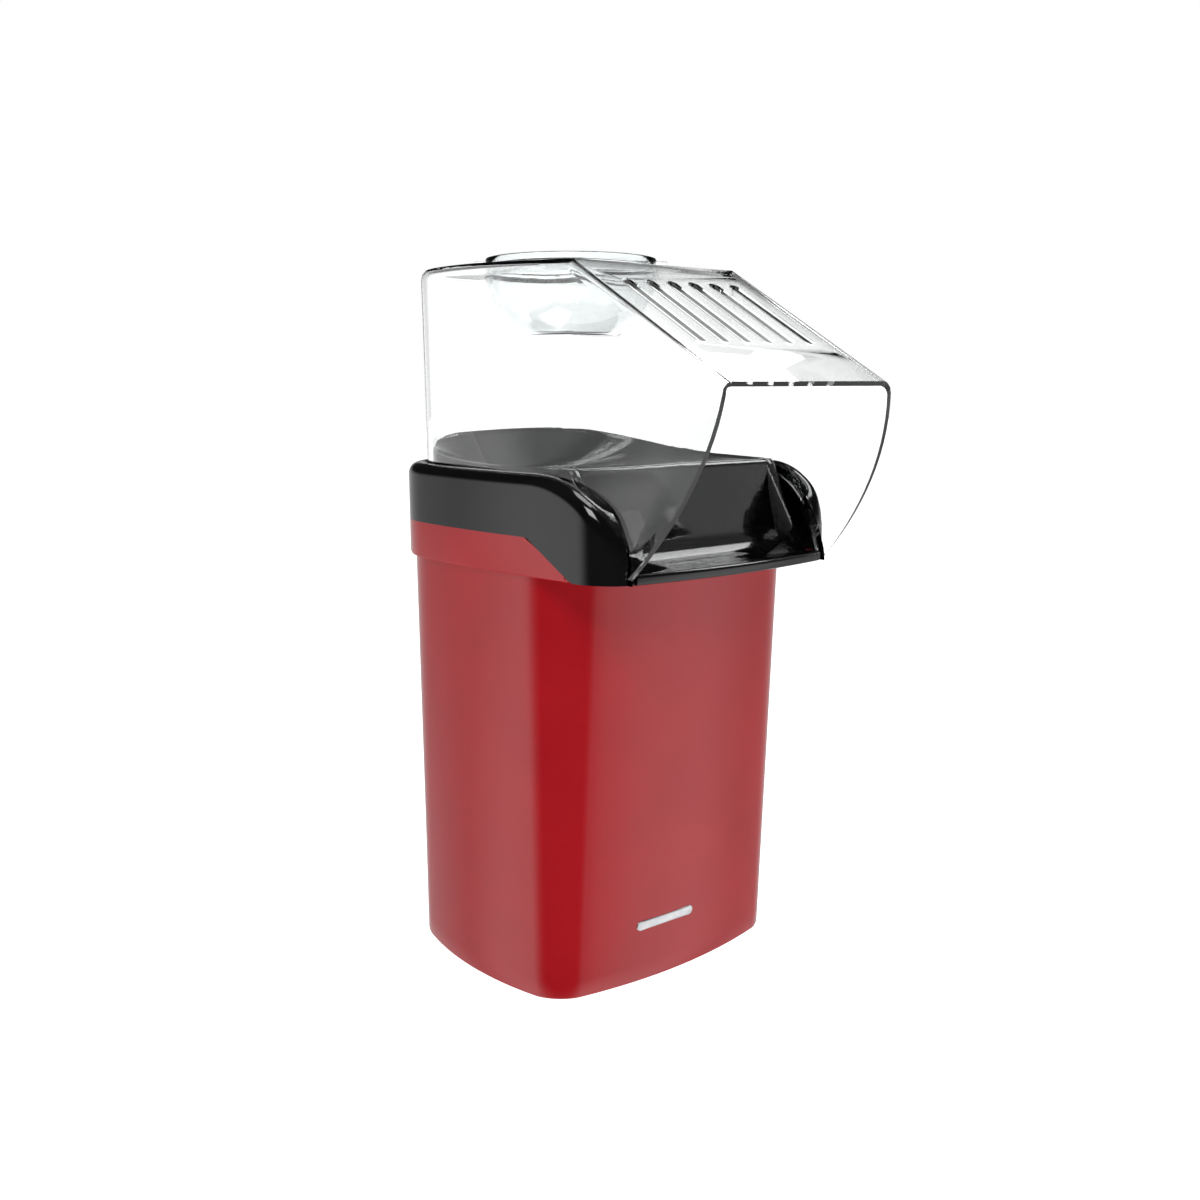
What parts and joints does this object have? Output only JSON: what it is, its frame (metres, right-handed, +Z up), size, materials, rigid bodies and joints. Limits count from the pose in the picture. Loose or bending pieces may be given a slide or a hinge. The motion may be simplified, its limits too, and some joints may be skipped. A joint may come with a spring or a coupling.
{
  "type": "hot-air popcorn maker",
  "caption": "Upright hot-air popcorn maker with a tapered housing, a funnel top with a pouring slide, a clear lift-off hood and a measuring cup.",
  "frame": {"origin": "on the resting plane of the four feet, under the middle of the body; the popping chamber's axis stands 12 mm behind it", "axes": "+Z up, -Y to the front, where the slide and the hood's mouth face, +X to the right of a person behind the machine's mouth looking at its front"},
  "size_m": [0.146, 0.1871, 0.298],
  "materials": {
    "red_shell": "glossy moulded plastic",
    "black_gloss": "glossy moulded plastic",
    "black_plain": "satin moulded plastic",
    "rubber": "matt moulded rubber",
    "steel": "zinc plated",
    "silver_print": "satin",
    "clear_hood": "clear polished polycarbonate",
    "clear_cup": "clear polished polycarbonate",
    "chamber_metal": "spun, satin",
    "gasket": "pressed fibre",
    "duct_steel": "plain sheet",
    "mica": "pressed mica sheet",
    "heater_wire": "oxidised resistance wire",
    "ceramic": "steatite and ceramic",
    "heatproof_plastic": "moulded heatproof plastic",
    "magnet": "sintered ferrite",
    "bronze": "sintered",
    "carbon": "pressed carbon",
    "winding": "lacquered copper winding on steel",
    "copper": "bare",
    "fan_plastic": "moulded",
    "board": "glass fibre laminate",
    "lead_red": "insulated lead",
    "lead_blue": "insulated lead",
    "lead_white": "glass fibre sleeved lead",
    "rocker": "glossy moulded plastic"
  },
  "bodies": {
    "machine": {"housing": "red_shell", "base_plate": "black_plain", "rubber_feet": "rubber", "base_screws": "steel", "badge": "silver_print", "chute": "black_gloss", "chute_screws": "steel", "popping_chamber": "chamber_metal", "chamber_gasket": "gasket", "air_duct": "duct_steel", "mica_sleeve": "mica", "heater_frame": "mica", "heater_coil": "heater_wire", "thermostat": "ceramic", "thermal_fuse": "ceramic", "fan_housing": "heatproof_plastic", "duct_screws": "steel", "motor_screws": "steel", "motor_can": "duct_steel", "motor_end_cap": "black_plain", "motor_magnets": "magnet", "upper_bush": "bronze", "lower_bush": "bronze", "carbon_brushes": "carbon", "rectifier_board": "board", "diodes": "black_plain", "terminal_block": "ceramic", "switch_leads": "lead_red", "motor_leads": "lead_blue", "heater_leads": "lead_white", "switch_body": "black_plain", "switch_terminals": "copper", "cord_inlet": "rubber"},
    "hood": {"hood": "clear_hood"},
    "cup": {"measuring_cup": "clear_cup"},
    "rocker": {"switch_rocker": "rocker"},
    "rotor": {"motor_shaft": "steel", "motor_armature": "winding", "commutator": "copper", "fan_impeller": "fan_plastic", "fan_nut": "steel"}
  },
  "joints": [
    {"name": "hood_lift", "type": "slide", "parent": "machine", "child": "hood", "axis": [0, 0, 1], "range_m": [0, 0.12]},
    {"name": "cup_lift", "type": "slide", "parent": "hood", "child": "cup", "axis": [0, 0, 1], "range_m": [0, 0.06]},
    {"name": "switch_rock", "type": "hinge", "parent": "machine", "child": "rocker", "pos_m": [0, 0.0595, 0.062], "axis": [1, 0, 0], "range_deg": [0, 18]},
    {"name": "fan_spin", "type": "hinge", "parent": "machine", "child": "rotor", "pos_m": [0, 0.012, 0.06], "axis": [0, 0, 1], "continuous": true}
  ]
}
